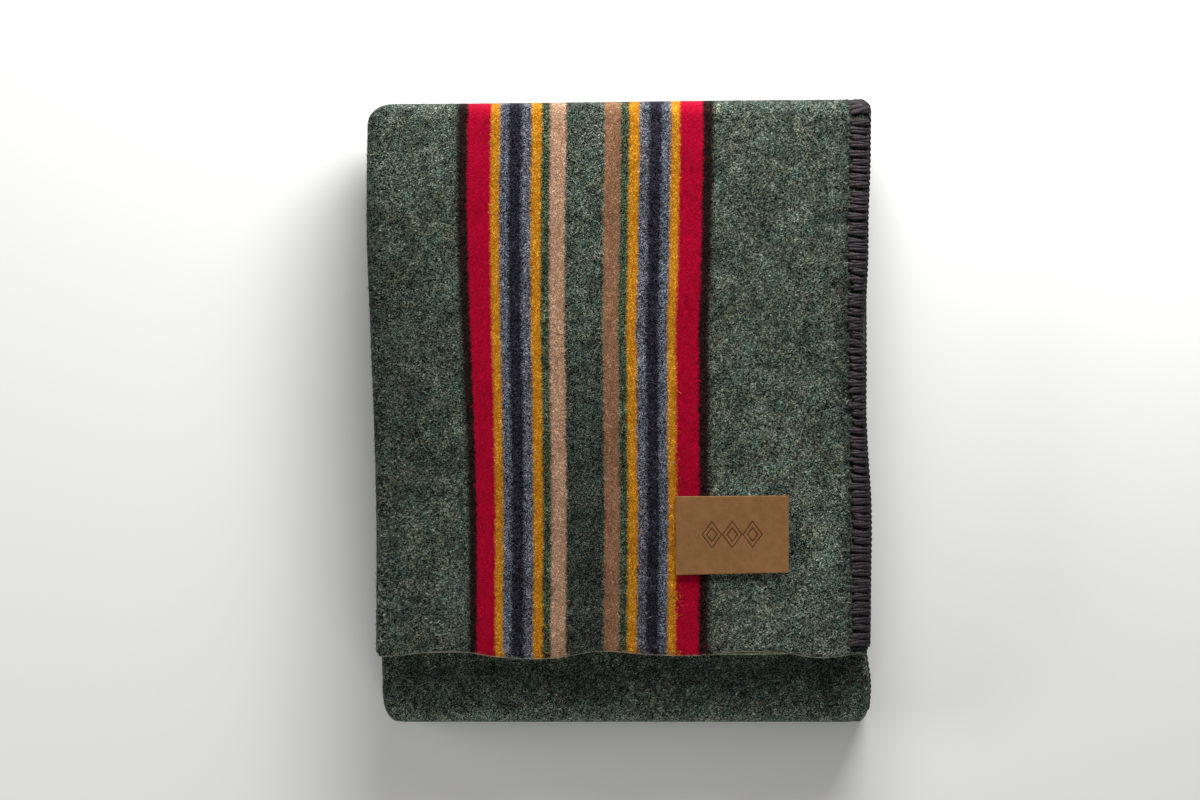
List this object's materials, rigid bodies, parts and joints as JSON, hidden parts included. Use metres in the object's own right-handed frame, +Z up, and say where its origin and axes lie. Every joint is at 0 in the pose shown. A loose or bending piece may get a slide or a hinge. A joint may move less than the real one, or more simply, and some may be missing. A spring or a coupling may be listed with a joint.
{
  "type": "folded camp blanket",
  "caption": "Striped wool camp blanket folded into a flat stack, with whipstitched ends and a blank leather patch; its folds open like a book.",
  "frame": {"origin": "on the ground under the middle of the folded stack", "axes": "+X to the right, towards the whipstitched edges; +Y to the rear, towards the upper fold; +Z up"},
  "size_m": [0.4218, 0.521, 0.0522],
  "materials": {
    "wool_cloth": "felted wool, heather green with woven stripes",
    "wool_yarn": "thick charcoal wool yarn",
    "label_leather": "smooth tan leather"
  },
  "bodies": {
    "under_panel": {"cloth_under_panel": "wool_cloth", "whipstitch_first_under_panel": "wool_yarn", "whipstitch_second_under_panel": "wool_yarn"},
    "middle_panel": {"cloth_middle_panel": "wool_cloth", "cloth_front_fold": "wool_cloth", "whipstitch_first_middle_panel": "wool_yarn", "whipstitch_second_middle_panel": "wool_yarn", "whipstitch_first_front_fold": "wool_yarn", "whipstitch_second_front_fold": "wool_yarn"},
    "top_panel": {"cloth_top_panel": "wool_cloth", "cloth_rear_fold": "wool_cloth", "whipstitch_first_top_panel": "wool_yarn", "whipstitch_second_top_panel": "wool_yarn", "whipstitch_first_rear_fold": "wool_yarn", "whipstitch_second_rear_fold": "wool_yarn", "label_patch": "label_leather"}
  },
  "joints": [
    {"name": "lower_fold", "type": "hinge", "parent": "under_panel", "child": "middle_panel", "pos_m": [0, -0.2438, 0.0167], "axis": [1, 0, 0], "range_deg": [0, 179.9], "deforming": ["cloth_front_fold", "whipstitch_first_front_fold", "whipstitch_second_front_fold"]},
    {"name": "upper_fold", "type": "hinge", "parent": "middle_panel", "child": "top_panel", "pos_m": [0, 0.24345, 0.0339], "axis": [-1, 0, 0], "range_deg": [0, 179.9], "deforming": ["cloth_rear_fold", "whipstitch_first_rear_fold", "whipstitch_second_rear_fold"]}
  ]
}
